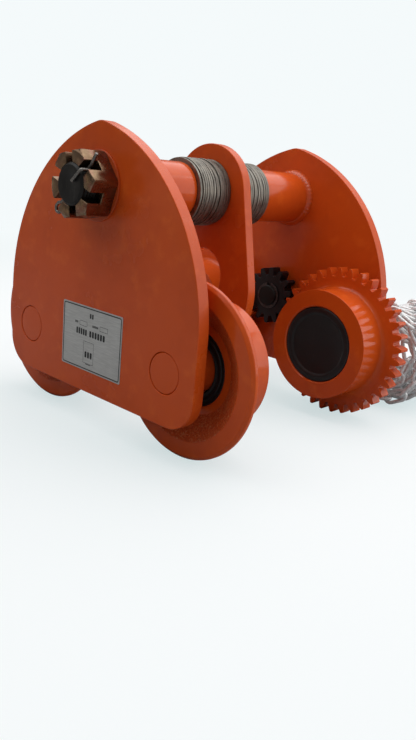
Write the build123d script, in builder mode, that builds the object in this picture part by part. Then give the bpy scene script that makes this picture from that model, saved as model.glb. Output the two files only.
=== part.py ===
"""Hand-geared beam trolley, standing upside down on its four wheels.

X runs along the beam, Y along the load shaft (the geared side plate is at +Y), Z is up.
The wheels stand on Z = 0.  The origin is under the middle of the whole object.
"""

from build123d import *
from math import acos, asin, cos, degrees, hypot, pi, radians, sin, sqrt, tan
import os

os.makedirs("parts", exist_ok=True)

# ---------------------------------------------------------------- driving dimensions, mm
mid_y = -55.0              # plane half way between the two side plates

plate_inner = 131.1        # from the middle plane to a plate's inner face
plate_thickness = 12.0
plate_half_width = 136.4
plate_bottom = 33.2
plate_side_radius = 171.6
plate_side_height = 110.8  # height of the centres of the two side arcs
plate_corner = 30.0
plate_tip = 22.0

wheel_base = 200.0
axle_height = 79.6
shaft_height = 223.6

tread_radius = 57.6
tread_start = 74.5         # inboard face of a wheel, from the middle plane
flange_radius = 79.6
flange_inner = 113.0
flange_outer = 121.0
bore_radius = 40.0         # takes a 35 x 80 x 21 ball bearing
seal_bore = 34.5
bearing_start = 80.4
bearing_width = 21.0
journal_radius = 17.5

module = 4.2
gear_teeth = 36
pinion_teeth = 14
pressure_angle = radians(20)
flank_relief = 0.17        # taken off each flank of a tooth at the pitch circle
gear_start = 110.0
gear_end = 123.7
pinion_start = 111.5
pinion_end = 125.5
pinion_tip_cut = 1.0

shaft_radius = 18.0        # M36
shaft_reach = 173.5
tube_radius = 27.4
shim_radius = 32.3
shim_pitch = 3.0
shims_plain = 14
shims_geared = 16
hanger_thickness = 11.0
hanger_top_radius = 47.8
hanger_foot_radius = 67.0
hanger_foot_height = 128.0
eye_height = 141.0
eye_radius = 27.5
rub_gap = 0.3              # between the swinging hanger and the shims

nut_flats = 54.0
nut_height = 26.9
nut_washer = 2.0
nut_turn = 10.0            # of the first corner of a nut, from +X towards +Z
slot_width = 9.4
slot_depth = 14.0
pin_wire = 1.45

label_width = 88.5
label_height = 61.5
label_middle = 84.8
label_thickness = 0.4

drive_radius = 12.0
drive_end = 286.5
housing_radius = 24.0
housing_end = 239.0
hand_wheel_middle = 260.8
hand_wheel_radius = 61.0

link_wire = 4.5
link_inner_width = 7.5
link_pitch = 22.5
link_slack = 0.5
chain_links = 150
chain_on_wheel = 53.0      # radius at which the chain runs over the hand wheel
coil_x = 119.0
coil_height = 60.6         # of the coil's middle; its lowest links lie on the ground
coil_radius = 52.0
coil_core_radius = 35.0
coil_turns = 4.75
coil_pitch = 17.4

# ---------------------------------------------------------------- derived places
half_base = wheel_base / 2
gear_pitch_radius = module * gear_teeth / 2
pinion_pitch_radius = module * pinion_teeth / 2
gear_distance = gear_pitch_radius + pinion_pitch_radius
drive_height = axle_height + sqrt(gear_distance ** 2 - half_base ** 2)
bearing_end = bearing_start + bearing_width
plate_outer = plate_inner + plate_thickness
shim_foot = hanger_thickness / 2 + rub_gap
sides = {"plain": -1, "geared": 1}
ends = {"left": -1, "right": 1}


def at(side, distance):
    """Y of a distance from the middle plane, on one side of it."""
    return mid_y + side * distance


def upright(y):
    """Plane at y whose sketch axes are X and Z; it extrudes towards -Y."""
    return Plane(origin=(0, y, 0), x_dir=(1, 0, 0), z_dir=(0, -1, 0))


def lying(x, z):
    """Plane through an axis along Y; its sketch axes are radius and Y."""
    return Plane(origin=(x, 0, z), x_dir=(1, 0, 0), z_dir=(0, 0, 1))


def save(piece, name):
    """Label a finished piece and write its STEP file."""
    piece.label = name
    export_step(piece, f"parts/{name}.step")


def turned(x, z, side, profile):
    """Piece turned about the line along Y through x, z, from (radius, distance) points."""
    with BuildPart() as piece:
        with BuildSketch(lying(x, z)):
            with BuildLine():
                Polyline(*[(r, at(side, d)) for r, d in profile], close=True)
            make_face()
        revolve(axis=Axis((x, 0, z), (0, 1, 0)))
    return piece.part


def ring(x, z, side, inner, outer, start, end, chamfer=0.0):
    """Plain ring between two distances, with chamfered outer edges."""
    profile = [(inner, start), (outer - chamfer, start), (outer, start + chamfer),
               (outer, end - chamfer), (outer - chamfer, end), (inner, end)]
    if chamfer == 0.0:
        profile = [(inner, start), (outer, start), (outer, end), (inner, end)]
    return turned(x, z, side, profile)


def spring_clip(x, z, side, inner, outer, start, thickness, gap):
    """Retaining ring with a gap at its top."""
    high = max(at(side, start), at(side, start + thickness))
    with BuildPart() as clip:
        with BuildSketch(upright(high)):
            with Locations((x, z)):
                Circle(outer)
                Circle(inner, mode=Mode.SUBTRACT)
            with Locations((x, z + (inner + outer) / 2)):
                Rectangle(gap, 2 * (outer - inner), mode=Mode.SUBTRACT)
        extrude(amount=thickness)
    return clip.part


def involute(angle):
    return tan(angle) - angle


def tooth_ring(teeth, tip_radius, phase, bore, middle, y_high, width):
    """Spur gear with its first tooth at the angle phase, in degrees from +X to +Z."""
    pitch_radius = module * teeth / 2
    base_radius = pitch_radius * cos(pressure_angle)
    root_radius = pitch_radius - 1.25 * module
    half_tooth = pi / (2 * teeth) - flank_relief / pitch_radius
    steps = 5
    flank = []
    for i in range(steps):
        r = base_radius + (tip_radius - base_radius) * (i / (steps - 1)) ** 1.5
        roll = involute(acos(base_radius / r)) if r > base_radius else 0.0
        flank.append((r, half_tooth + involute(pressure_angle) - roll))
    foot = flank[0][1] + 0.35 * (pi / teeth - flank[0][1])

    def polar(r, angle):
        return (middle[0] + r * cos(angle), middle[1] + r * sin(angle))

    with BuildPart() as gear:
        with BuildSketch(upright(y_high)):
            with BuildLine():
                for k in range(teeth):
                    centre = radians(phase) + 2 * pi * k / teeth
                    following = centre + 2 * pi / teeth
                    rising = [polar(r, centre - a) for r, a in flank]
                    falling = [polar(r, centre + a) for r, a in reversed(flank)]
                    Line(polar(root_radius, centre - foot), rising[0])
                    Spline(*rising)
                    ThreePointArc(rising[-1], polar(tip_radius, centre), falling[0])
                    Spline(*falling)
                    Line(falling[-1], polar(root_radius, centre + foot))
                    ThreePointArc(polar(root_radius, centre + foot),
                                  polar(root_radius, (centre + following) / 2),
                                  polar(root_radius, following - foot))
            make_face()
            with Locations(middle):
                Circle(bore, mode=Mode.SUBTRACT)
        extrude(amount=width)
    return gear.part


# ---------------------------------------------------------------- side plates
def side_plate(side, with_drive):
    high = max(at(side, plate_inner), at(side, plate_outer))
    arc_middle = plate_half_width - plate_side_radius
    apex = plate_side_height + sqrt(plate_side_radius ** 2 - arc_middle ** 2)
    knee = radians(35)
    on_arc = (arc_middle + plate_side_radius * cos(knee),
              plate_side_height + plate_side_radius * sin(knee))
    with BuildPart() as plate:
        with BuildSketch(upright(high)):
            with BuildLine():
                Line((0, plate_bottom), (plate_half_width, plate_bottom))
                Line((plate_half_width, plate_bottom), (plate_half_width, plate_side_height))
                ThreePointArc((plate_half_width, plate_side_height), on_arc, (0, apex))
                mirror(about=Plane.YZ)
            make_face()
            corners = vertices().group_by(Axis.Y)[0].sort_by(Axis.X)
            fillet([corners[0], corners[-1]], radius=plate_corner)
            fillet(vertices().sort_by(Axis.Y)[-1], radius=plate_tip)
            with Locations((0, shaft_height)):
                Circle(shaft_radius + 0.2, mode=Mode.SUBTRACT)
            with Locations((-half_base, axle_height), (half_base, axle_height)):
                Circle(journal_radius + 0.7, mode=Mode.SUBTRACT)
            if with_drive:
                with Locations((0, drive_height)):
                    Circle(20.0, mode=Mode.SUBTRACT)
        extrude(amount=plate_thickness)
        rims = edges().filter_by(GeomType.CIRCLE, reverse=True)
        chamfer([e for e in rims if e.length > 60 and abs(e.center().Z) > 1
                 and abs((e @ 0).Y - (e @ 1).Y) < 0.1], length=0.6)
    return plate.part


for word, side in sides.items():
    save(side_plate(side, word == "geared"), f"side_plate_{word}")

# ---------------------------------------------------------------- load shaft and what is on it
pin_distance = plate_outer + nut_washer + nut_height - slot_depth / 2
pin_direction = (cos(radians(nut_turn + 30)), 0, sin(radians(nut_turn + 30)))

with BuildPart() as load_shaft:
    with BuildSketch(lying(0, shaft_height)):
        with BuildLine():
            Polyline((0, at(-1, shaft_reach)), (shaft_radius - 2, at(-1, shaft_reach)),
                     (shaft_radius, at(-1, shaft_reach - 2)), (shaft_radius, at(1, shaft_reach - 2)),
                     (shaft_radius - 2, at(1, shaft_reach)), (0, at(1, shaft_reach)), close=True)
        make_face()
    revolve(axis=Axis((0, 0, shaft_height), (0, 1, 0)))
    for side in sides.values():
        hole_plane = Plane(origin=(0, at(side, pin_distance), shaft_height),
                           x_dir=(0, 1, 0), z_dir=pin_direction)
        with BuildSketch(hole_plane):
            Circle(2 * pin_wire + 0.35)
        extrude(amount=30, both=True, mode=Mode.SUBTRACT)
save(load_shaft.part, "load_shaft")


def castle_nut(side):
    """Hexagon nut with slots half way between its corners."""
    foot = plate_outer + nut_washer
    high = max(at(side, foot), at(side, foot + nut_height))
    slot_high = max(at(side, foot + nut_height), at(side, foot + nut_height - slot_depth))
    corner = nut_flats / sqrt(3)
    with BuildPart() as nut:
        with BuildSketch(upright(high)):
            with Locations((0, shaft_height)):
                RegularPolygon(radius=corner, side_count=6, rotation=nut_turn)
                Circle(shaft_radius + 0.05, mode=Mode.SUBTRACT)
        extrude(amount=nut_height)
        with BuildSketch(lying(0, shaft_height)):
            with BuildLine():
                Polyline((0, at(side, foot)), (corner - 1.6, at(side, foot)), (corner, at(side, foot + 1.6)),
                         (corner, at(side, foot + nut_height - 2.2)),
                         (corner - 3.6, at(side, foot + nut_height)), (0, at(side, foot + nut_height)),
                         close=True)
            make_face()
        revolve(axis=Axis((0, 0, shaft_height), (0, 1, 0)), mode=Mode.INTERSECT)
        with BuildSketch(upright(slot_high)):
            for turn in (nut_turn + 30, nut_turn + 90, nut_turn + 150):
                with Locations(Location((0, shaft_height), turn)):
                    Rectangle(4 * corner, slot_width)
        extrude(amount=slot_depth, mode=Mode.SUBTRACT)
    return nut.part


def split_pin(side):
    """One bent wire: an eye outside the nut, one leg over the shaft's end and one left straight."""
    strand, eye, over = pin_wire + 0.05, 3.7, shaft_reach - pin_distance + pin_wire + 0.1
    path_plane = Plane(origin=(0, at(side, pin_distance), shaft_height),
                       x_dir=pin_direction, z_dir=(0, side, 0))
    with BuildPart() as pin:
        with BuildLine(path_plane) as path:
            FilletPolyline((6.5, -strand, over), (22, -strand, over), (22, -strand, 0), (-28, -strand, 0),
                           (-31, -eye, 0), (-36, -eye, 0), (-38.5, 0, 0), (-36, eye, 0), (-31, eye, 0),
                           (-28, strand, 0), (25, strand, 0), (36, strand + 3, 0), radius=2.2)
        with BuildSketch(Plane(origin=path.line @ 0, z_dir=path.line % 0)):
            Circle(pin_wire)
        sweep()
    return pin.part


for word, side in sides.items():
    save(castle_nut(side), f"castle_nut_{word}")
    save(split_pin(side), f"split_pin_{word}")

save(Compound(children=[ring(0, shaft_height, side, shaft_radius + 0.3, 30.6, plate_outer,
                             plate_outer + nut_washer, 0.5) for side in sides.values()]), "nut_washers")


def shim_stack(side, count):
    """Loose shims, each a little off centre on the shaft."""
    shims = []
    for i in range(count):
        start = shim_foot + i * shim_pitch
        lean = 0.28 * sin(2.4 * i + side)
        drop = 0.28 * cos(1.7 * i)
        shims.append(ring(lean, shaft_height + drop, side, shaft_radius + 0.5, shim_radius,
                          start, start + shim_pitch - 0.1, 0.5))
    return Compound(children=shims)


save(shim_stack(-1, shims_plain), "shim_washers_plain")
save(shim_stack(1, shims_geared), "shim_washers_geared")

tube_starts = {"plain": shim_foot + shims_plain * shim_pitch, "geared": shim_foot + shims_geared * shim_pitch}
for word, side in sides.items():
    save(ring(0, shaft_height, side, shaft_radius + 0.4, tube_radius, tube_starts[word], plate_inner, 0.6),
         f"spacer_tube_{word}")

weld_profile = [(tube_radius, plate_inner - 5.8), (tube_radius + 1.6, plate_inner - 5.4),
                (tube_radius + 3.6, plate_inner - 3.2), (tube_radius + 4.2, plate_inner),
                (tube_radius, plate_inner)]
save(Compound(children=[turned(0, shaft_height, side, weld_profile) for side in sides.values()]),
     "tube_weld_beads")

# ---------------------------------------------------------------- hanger
lean_angle = asin((hanger_foot_radius - hanger_top_radius) / (shaft_height - hanger_foot_height))
with BuildPart() as hanger_plate:
    with BuildSketch(upright(mid_y + hanger_thickness / 2)):
        with BuildLine():
            upper = (hanger_top_radius * cos(lean_angle), shaft_height + hanger_top_radius * sin(lean_angle))
            lower = (hanger_foot_radius * cos(lean_angle),
                     hanger_foot_height + hanger_foot_radius * sin(lean_angle))
            Line(upper, lower)
            ThreePointArc(lower, (0, hanger_foot_height - hanger_foot_radius), (-lower[0], lower[1]))
            Line((-lower[0], lower[1]), (-upper[0], upper[1]))
            ThreePointArc((-upper[0], upper[1]), (0, shaft_height + hanger_top_radius), upper)
        make_face()
        with Locations((0, shaft_height)):
            Circle(shaft_radius + 4.0, mode=Mode.SUBTRACT)
        with Locations((0, eye_height)):
            Circle(eye_radius, mode=Mode.SUBTRACT)
    extrude(amount=hanger_thickness)
    outline = edges().filter_by(Axis.Y, reverse=True).filter_by(lambda e: e.length > 90)
    chamfer([e for e in outline if abs(e.length - 2 * pi * eye_radius) > 1], length=0.6)
save(hanger_plate.part, "hanger_plate")
save(ring(0, shaft_height, 1, shaft_radius + 0.06, shaft_radius + 4.0, -hanger_thickness / 2,
          hanger_thickness / 2), "hanger_bush")

# ---------------------------------------------------------------- name plate
with BuildPart() as name_plate:
    with BuildSketch(upright(at(-1, plate_outer))):
        with Locations((0, label_middle)):
            RectangleRounded(label_width, label_height, 1.5)
    extrude(amount=label_thickness)
save(name_plate.part, "name_plate")

# ---------------------------------------------------------------- axles and bearings
for word, side in sides.items():
    for hand, end in ends.items():
        axle = turned(end * half_base, axle_height, side,
                      [(0, bearing_start - 2.8), (journal_radius - 1.2, bearing_start - 2.8),
                       (journal_radius - 0.4, bearing_start - 2.0),
                       (journal_radius - 0.4, bearing_start - 1.5),
                       (journal_radius - 1.2, bearing_start - 1.5), (journal_radius - 1.2, bearing_start),
                       (journal_radius, bearing_start), (journal_radius, plate_inner - 4.0),
                       (journal_radius + 8.0, plate_inner - 4.0), (journal_radius + 8.0, plate_inner),
                       (journal_radius + 0.4, plate_inner), (journal_radius + 0.4, plate_outer - 0.9),
                       (journal_radius - 0.2, plate_outer - 0.3), (0, plate_outer - 0.3)])
        save(axle, f"wheel_axle_{word}_{hand}")

wheel_places = [(end * half_base, side) for side in sides.values() for end in ends.values()]
save(Compound(children=[ring(x, axle_height, side, journal_radius + 0.05, journal_radius + 4.5,
                             bearing_end, plate_inner - 4.0, 0.4) for x, side in wheel_places]),
     "axle_spacers")
save(Compound(children=[spring_clip(x, axle_height, side, journal_radius - 1.15, journal_radius + 3.0,
                                    bearing_start - 1.4, 1.3, 6.0) for x, side in wheel_places]),
     "axle_circlips")

ball_radius = 6.3
ball_circle = (journal_radius + bore_radius) / 2
bearing_middle = bearing_start + bearing_width / 2


def race(x, side, inner, outer):
    """Bearing ring with the groove that its balls run in."""
    with BuildPart() as piece:
        with BuildSketch(lying(x, axle_height)):
            with Locations(((inner + outer) / 2, at(side, bearing_middle))):
                RectangleRounded(outer - inner, bearing_width, 0.8)
            with Locations((ball_circle, at(side, bearing_middle))):
                Circle(ball_radius + 0.15, mode=Mode.SUBTRACT)
        revolve(axis=Axis((x, 0, axle_height), (0, 1, 0)))
    return piece.part


def ball_set(x, side):
    """Balls held in a thin cage."""
    with BuildPart() as balls:
        with BuildSketch(lying(x, axle_height)):
            with Locations((ball_circle, at(side, bearing_middle))):
                Rectangle(1.4, 6.0)
        revolve(axis=Axis((x, 0, axle_height), (0, 1, 0)))
        with Locations(Plane(origin=(x, at(side, bearing_middle), axle_height), z_dir=(0, 1, 0))):
            with PolarLocations(ball_circle, 8):
                Sphere(ball_radius)
    return balls.part


save(Compound(children=[race(x, side, journal_radius + 0.02, 23.6) for x, side in wheel_places]),
     "bearing_inner_rings")


# ---------------------------------------------------------------- wheels
def hub_profile(outer_points):
    """Profile of a wheel: the bored hub, and the points of its outside from face to face."""
    groove = bearing_start - 2.1
    return ([(bore_radius, tread_start + 1.0), (bore_radius + 1.0, tread_start)] + outer_points
            + [(seal_bore, bearing_end + 4.2), (seal_bore, bearing_end), (bore_radius, bearing_end),
               (bore_radius, bearing_start - 0.1), (bore_radius + 1.6, bearing_start - 0.1),
               (bore_radius + 1.6, groove), (bore_radius, groove)])


plain_outside = [(tread_radius - 1.2, tread_start), (tread_radius, tread_start + 1.2),
                 (tread_radius, flange_inner - 3.0), (tread_radius + 0.9, flange_inner - 0.9),
                 (tread_radius + 3.0, flange_inner), (flange_radius - 1.6, flange_inner + 0.6),
                 (flange_radius, flange_inner + 2.0), (flange_radius, flange_outer - 2.4),
                 (76.8, flange_outer), (63.3, flange_outer), (60.4, flange_outer - 2.0),
                 (47.0, flange_outer - 12.5), (42.0, bearing_end + 4.2)]
geared_outside = [(tread_radius - 1.2, tread_start), (tread_radius, tread_start + 1.2),
                  (tread_radius, gear_start - 4.0), (tread_radius + 1.2, gear_start - 1.4),
                  (tread_radius + 4.0, gear_start), (gear_pitch_radius - 8, gear_start),
                  (gear_pitch_radius - 8, gear_end), (62.0, gear_end), (59.0, gear_end - 2.0),
                  (46.5, gear_end - 14.0), (42.0, bearing_end + 4.2)]

# A tooth space of the right-hand wheel takes the pinion tooth that stands nearest to the line of centres.
mesh_line = 180 - degrees(acos(half_base / gear_distance))
pinion_phase = 90.0
pinion_step = 360 / pinion_teeth
gear_step = 360 / gear_teeth
past_tooth = ((mesh_line - 180 - pinion_phase) % pinion_step) / pinion_step
right_phase = mesh_line + (past_tooth + 0.5) * gear_step


def wheel(word, side, hand, end):
    x = end * half_base
    if word == "plain":
        return turned(x, axle_height, side, hub_profile(plain_outside))
    phase = right_phase if end > 0 else 180 - right_phase
    with BuildPart() as piece:
        add(turned(x, axle_height, side, hub_profile(geared_outside)))
        add(tooth_ring(gear_teeth, gear_pitch_radius + module, phase, gear_pitch_radius - 9,
                       (x, axle_height), at(side, gear_end), gear_end - gear_start))
    return piece.part


def dust_cap(x, side):
    face = tread_start + 0.6
    return turned(x, axle_height, side,
                  [(0, face + 0.9), (31.5, face + 0.9), (33.0, face), (38.6, face), (39.9, face + 1.2),
                   (39.9, face + 3.1), (38.4, face + 3.1), (38.4, face + 1.5), (33.4, face + 1.5),
                   (32.0, face + 2.3), (0, face + 2.3)])


for word, side in sides.items():
    for hand, end in ends.items():
        x = end * half_base
        save(wheel(word, side, hand, end), f"wheel_{word}_{hand}")
        save(race(x, side, 33.4, bore_radius - 0.02), f"bearing_outer_ring_{word}_{hand}")
        save(ball_set(x, side), f"bearing_balls_{word}_{hand}")
        save(ring(x, axle_height, side, journal_radius + 4.8, seal_bore - 0.05, bearing_end + 0.1,
                  bearing_end + 4.0, 0.4), f"hub_seal_{word}_{hand}")
        save(spring_clip(x, axle_height, side, bore_radius - 3.6, bore_radius + 1.4, bearing_start - 2.0,
                         1.8, 9.0), f"bore_circlip_{word}_{hand}")
        save(dust_cap(x, side), f"dust_cap_{word}_{hand}")

# ---------------------------------------------------------------- pinion, its shaft and its housing
with BuildPart() as pinion:
    add(tooth_ring(pinion_teeth, pinion_pitch_radius + module - pinion_tip_cut, pinion_phase,
                   drive_radius + 0.02, (0, drive_height), at(1, pinion_end), pinion_end - pinion_start))
    add(ring(0, drive_height, 1, drive_radius + 0.02, 18.0, pinion_end, plate_inner - 0.5))
    key_plane = upright(at(1, plate_inner - 0.5))
    with BuildSketch(key_plane):
        with Locations((0, drive_height + drive_radius)):
            Rectangle(6.0, 6.4)
    extrude(amount=plate_inner - 0.5 - pinion_start, mode=Mode.SUBTRACT)
save(pinion.part, "pinion")

hub_start, hub_end = housing_end + 3.0, drive_end - 5.5
with BuildPart() as pinion_shaft:
    add(turned(0, drive_height, 1,
               [(0, pinion_start - 4.0), (drive_radius - 1, pinion_start - 4.0),
                (drive_radius, pinion_start - 3.0), (drive_radius, pinion_start - 1.5),
                (drive_radius - 1, pinion_start - 1.5), (drive_radius - 1, pinion_start),
                (drive_radius, pinion_start), (drive_radius, hub_end + 0.2),
                (drive_radius - 1, hub_end + 0.2), (drive_radius - 1, hub_end + 1.7),
                (drive_radius, hub_end + 1.7), (drive_radius, drive_end - 1.0),
                (drive_radius - 1, drive_end), (0, drive_end)]))
    for start, end in ((pinion_start, plate_inner - 1.0), (hub_start + 4, hub_end - 4)):
        with BuildSketch(upright(at(1, end))):
            with Locations((0, drive_height + drive_radius)):
                Rectangle(6.0, 6.4)
        extrude(amount=end - start, mode=Mode.SUBTRACT)
save(pinion_shaft.part, "pinion_shaft")

with BuildPart() as drive_keys:
    for start, end in ((pinion_start + 0.5, plate_inner - 1.5), (hub_start + 4.5, hub_end - 4.5)):
        with BuildSketch(upright(at(1, end))):
            with Locations((0, drive_height + drive_radius)):
                Rectangle(5.94, 6.2)
        extrude(amount=end - start)
save(drive_keys.part, "drive_keys")

save(Compound(children=[
    spring_clip(0, drive_height, 1, drive_radius - 0.95, drive_radius + 3.0, pinion_start - 1.4, 1.3, 5.0),
    spring_clip(0, drive_height, 1, drive_radius - 0.95, drive_radius + 3.0, hub_end + 0.3, 1.3, 5.0)]),
    "drive_circlips")

save(turned(0, drive_height, 1,
            [(15.0, plate_inner), (20.0 - 0.05, plate_inner), (20.0 - 0.05, plate_outer),
             (housing_radius + 4, plate_outer), (housing_radius + 4, plate_outer + 5),
             (housing_radius, plate_outer + 9), (housing_radius, housing_end - 1),
             (housing_radius - 1, housing_end), (15.0, housing_end)]), "pinion_housing")
save(Compound(children=[
    ring(0, drive_height, 1, drive_radius + 0.06, 15.0, plate_inner + 0.2, plate_inner + 24),
    ring(0, drive_height, 1, drive_radius + 0.06, 15.0, housing_end - 24, housing_end)]), "pinion_bushes")
save(ring(0, drive_height, 1, drive_radius + 0.3, 20.0, housing_end + 0.3, hub_start - 0.3, 0.3),
     "thrust_washer")

# ---------------------------------------------------------------- hand-chain wheel
rim_half = 12.5
seat = chain_on_wheel - 3.8         # under the links that lie flat on the rim
slot_floor = chain_on_wheel - 10.0  # under the links that stand on edge
w = hand_wheel_middle
spoke_start, spoke_end = 20.0, slot_floor - 8
with BuildPart() as hand_wheel_hub:
    add(ring(0, drive_height, 1, drive_radius + 0.02, spoke_start, hub_start, hub_end, 1.0))
    with BuildSketch(upright(at(1, hub_end))):
        with Locations((0, drive_height + drive_radius)):
            Rectangle(6.0, 6.4)
    extrude(amount=hub_end - hub_start, mode=Mode.SUBTRACT)
save(hand_wheel_hub.part, "hand_wheel_hub")

with BuildPart() as hand_wheel_spokes:
    with BuildSketch(upright(at(1, w + 4))):
        with Locations((0, drive_height)):
            with PolarLocations((spoke_start + spoke_end) / 2, 5, start_angle=54):
                Rectangle(24, 9)
            Circle(spoke_end, mode=Mode.INTERSECT)
            Circle(spoke_start, mode=Mode.SUBTRACT)
    extrude(amount=8)
save(hand_wheel_spokes.part, "hand_wheel_spokes")

save(turned(0, drive_height, 1,
            [(spoke_end, w - 5), (spoke_end + 1, w - 6), (slot_floor - 5, w - rim_half),
             (hand_wheel_radius - 1, w - rim_half), (hand_wheel_radius, w - rim_half + 1),
             (seat + 2, w - 9.0), (seat, w - 8.8), (seat, w - 2.9), (slot_floor, w - 2.8),
             (slot_floor, w + 2.8), (seat, w + 2.9), (seat, w + 8.8), (seat + 2, w + 9.0),
             (hand_wheel_radius, w + rim_half - 1), (hand_wheel_radius - 1, w + rim_half),
             (slot_floor - 5, w + rim_half), (spoke_end + 1, w + 6), (spoke_end, w + 5)]),
     "hand_wheel_rim")


# ---------------------------------------------------------------- hand chain
def arc_run(middle, radius, start, end, y_start, y_end, steps):
    """Points of an arc or helix in the X-Z plane, its angles in degrees from +X to +Z."""
    points = []
    for i in range(steps):
        t = i / steps
        angle = radians(start + (end - start) * t)
        points.append((middle[0] + radius * cos(angle), y_start + (y_end - y_start) * t,
                       middle[1] + radius * sin(angle)))
    return points


def bezier_run(p0, p1, p2, p3, steps):
    """Points of a cubic curve."""
    points = []
    for i in range(steps):
        t = i / steps
        weights = ((1 - t) ** 3, 3 * t * (1 - t) ** 2, 3 * t * t * (1 - t), t ** 3)
        points.append(tuple(sum(k * p[axis] for k, p in zip(weights, (p0, p1, p2, p3)))
                            for axis in range(3)))
    return points


def chain_route():
    """The endless chain: over the hand wheel, down into a coil of two layers, and back under the wheel."""
    y_wheel = at(1, hand_wheel_middle)
    coil = (coil_x, coil_height)
    top, foot = coil_height + coil_radius, coil_height - coil_core_radius
    y_near = y_wheel - coil_turns * coil_pitch
    y_back = y_wheel + coil_pitch
    route = arc_run((0, drive_height), chain_on_wheel, 180, 0, y_wheel, y_wheel, 60)
    route += bezier_run((chain_on_wheel, y_wheel, drive_height), (chain_on_wheel, y_wheel, 90),
                        (coil_x - coil_radius, y_wheel, 82), (coil_x - coil_radius, y_wheel, coil_height),
                        40)
    route += arc_run(coil, coil_radius, -180, -180 + 360 * coil_turns, y_wheel, y_near, 300)
    route += bezier_run((coil_x, y_near, top), (coil_x - 34, y_near - 4, top),
                        (coil_x - 30, y_near - 6, foot), (coil_x, y_near, foot), 40)
    inner_turns = coil_turns + 1
    route += arc_run(coil, coil_core_radius, -90, -90 + 360 * inner_turns, y_near, y_back, 300)
    side = coil_x - coil_core_radius
    route += bezier_run((side, y_back, coil_height), (side, y_back, 5), (-chain_on_wheel, y_wheel, -38),
                        (-chain_on_wheel, y_wheel, drive_height), 80)
    return route


def spaced(route, count):
    """Points at equal steps along a closed route."""
    loop = route + [route[0]]
    lengths = [0.0]
    for a, b in zip(loop, loop[1:]):
        lengths.append(lengths[-1] + hypot(b[0] - a[0], b[1] - a[1], b[2] - a[2]))
    print("chain length", round(lengths[-1], 1), "mm, pitch", round(lengths[-1] / count, 2))
    points, k = [], 0
    for i in range(count):
        wanted = lengths[-1] * i / count
        while lengths[k + 1] < wanted:
            k += 1
        t = (wanted - lengths[k]) / (lengths[k + 1] - lengths[k])
        points.append(Vector(*[a + (b - a) * t for a, b in zip(loop[k], loop[k + 1])]))
    return points


end_middle = (link_pitch + link_slack - link_inner_width) / 2
bend = (link_inner_width + link_wire) / 2
with BuildPart() as chain_link:
    with BuildLine() as oval:
        Line((-end_middle, bend), (end_middle, bend))
        ThreePointArc((end_middle, bend), (end_middle + bend, 0), (end_middle, -bend))
        Line((end_middle, -bend), (-end_middle, -bend))
        ThreePointArc((-end_middle, -bend), (-end_middle - bend, 0), (-end_middle, bend))
    with BuildSketch(Plane(origin=(-end_middle, bend, 0), z_dir=(1, 0, 0))):
        Circle(link_wire / 2)
    sweep()

joints = spaced(chain_route(), chain_links)
across = Vector(0, 1, 0)
links = []
for i, joint in enumerate(joints):
    following = joints[(i + 1) % chain_links]
    along = (following - joint).normalized()
    edgewise = along.cross(across).normalized()
    face = edgewise if i % 2 else along.cross(edgewise).normalized()
    place = Plane(origin=(joint + following) * 0.5, x_dir=along, z_dir=face)
    links.append(chain_link.part.moved(place.location))
save(Compound(children=links), "hand_chain")
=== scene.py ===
"""Studio scene of a hand-geared beam trolley that stands upside down on its four wheels.

X runs along the beam, Y along the load shaft, Z is up.  Sizes in the classes are in
millimetres and each finished mesh is scaled to metres.  A distance is measured along Y
from the plane half way between the two side plates, away from that plane on either side.
"""

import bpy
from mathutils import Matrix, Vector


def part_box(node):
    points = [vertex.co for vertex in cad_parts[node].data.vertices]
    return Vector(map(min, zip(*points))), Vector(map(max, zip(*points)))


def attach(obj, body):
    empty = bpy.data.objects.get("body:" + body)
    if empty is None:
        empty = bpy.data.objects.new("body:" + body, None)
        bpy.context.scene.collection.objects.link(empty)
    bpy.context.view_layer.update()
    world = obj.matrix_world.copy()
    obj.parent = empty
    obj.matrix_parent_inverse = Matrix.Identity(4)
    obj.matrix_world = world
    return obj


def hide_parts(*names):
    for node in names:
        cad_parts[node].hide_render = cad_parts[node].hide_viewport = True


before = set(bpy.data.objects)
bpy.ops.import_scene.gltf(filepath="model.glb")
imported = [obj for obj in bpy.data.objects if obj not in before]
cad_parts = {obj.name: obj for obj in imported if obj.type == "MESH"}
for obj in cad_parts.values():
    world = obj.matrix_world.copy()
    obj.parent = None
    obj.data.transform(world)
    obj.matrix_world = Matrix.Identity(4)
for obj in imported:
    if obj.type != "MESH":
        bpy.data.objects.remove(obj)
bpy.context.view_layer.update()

import logging
import math
import random
from dataclasses import dataclass
from enum import Enum
from typing import Callable, Iterable, Sequence

import bmesh
import bpy
import numpy as np
from mathutils import Matrix, Vector

log = logging.getLogger("trolley")

MM = 0.001
Colour = tuple[float, float, float]
Point = tuple[float, float]


class Side(Enum):
    """The two side plates, by the way each lies from the middle plane."""

    PLAIN = -1
    GEARED = 1

    @property
    def word(self) -> str:
        """Name of the side as the frame's nodes spell it."""
        return self.name.lower()


class Hand(Enum):
    """The two wheels on a side plate."""

    LEFT = -1
    RIGHT = 1

    @property
    def word(self) -> str:
        """Name of the hand as the frame's nodes spell it."""
        return self.name.lower()


def middle_of(node: str) -> Vector:
    """Middle of a frame node's box, in millimetres."""
    low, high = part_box(node)
    return (low + high) / (2 * MM)


MID_Y = middle_of("hanger_plate").y


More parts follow.
